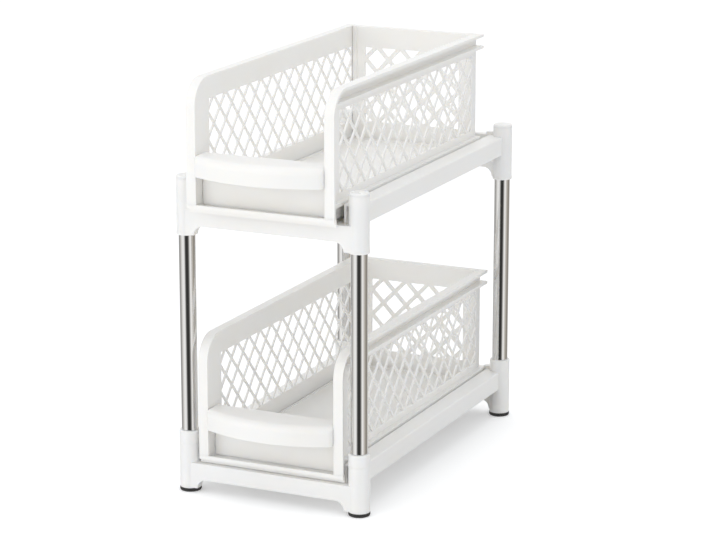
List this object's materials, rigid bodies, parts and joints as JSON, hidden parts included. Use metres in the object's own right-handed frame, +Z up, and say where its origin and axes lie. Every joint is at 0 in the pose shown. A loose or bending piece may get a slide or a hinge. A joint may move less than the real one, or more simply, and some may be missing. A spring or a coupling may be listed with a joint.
{
  "type": "under sink organizer",
  "caption": "Tiered organizer with sliding lattice baskets on white trays, held by bright steel posts with caps and rubber feet.",
  "frame": {"origin": "middle of the footprint at the level of the feet's undersides, the upper basket in the slightly pulled-out position of the picture", "axes": "+Z up, -Y towards the front, where the baskets slide out, +X to the right as seen from the front"},
  "size_m": [0.21, 0.4249, 0.426],
  "materials": {
    "tray_plastic": "satin",
    "basket_plastic": "satin",
    "cap_plastic": "satin",
    "post_steel": "polished",
    "foot_rubber": "matte"
  },
  "bodies": {
    "frame": {"lower_tray": "tray_plastic", "upper_tray": "tray_plastic", "front_left_tube": "post_steel", "front_left_foot": "foot_rubber", "front_left_cap": "cap_plastic", "front_right_tube": "post_steel", "front_right_foot": "foot_rubber", "front_right_cap": "cap_plastic", "rear_left_tube": "post_steel", "rear_left_foot": "foot_rubber", "rear_left_cap": "cap_plastic", "rear_right_tube": "post_steel", "rear_right_foot": "foot_rubber", "rear_right_cap": "cap_plastic"},
    "lower_basket": {"lower_basket_floor": "basket_plastic", "lower_basket_left_side": "basket_plastic", "lower_basket_right_side": "basket_plastic", "lower_basket_back": "basket_plastic", "lower_basket_front": "basket_plastic"},
    "upper_basket": {"upper_basket_floor": "basket_plastic", "upper_basket_left_side": "basket_plastic", "upper_basket_right_side": "basket_plastic", "upper_basket_back": "basket_plastic", "upper_basket_front": "basket_plastic"}
  },
  "joints": [
    {"name": "lower_basket_slide", "type": "slide", "parent": "frame", "child": "lower_basket", "axis": [0, -1, 0], "range_m": [0, 0.25]},
    {"name": "upper_basket_slide", "type": "slide", "parent": "frame", "child": "upper_basket", "axis": [0, -1, 0], "range_m": [-0.0185, 0.2315]}
  ]
}
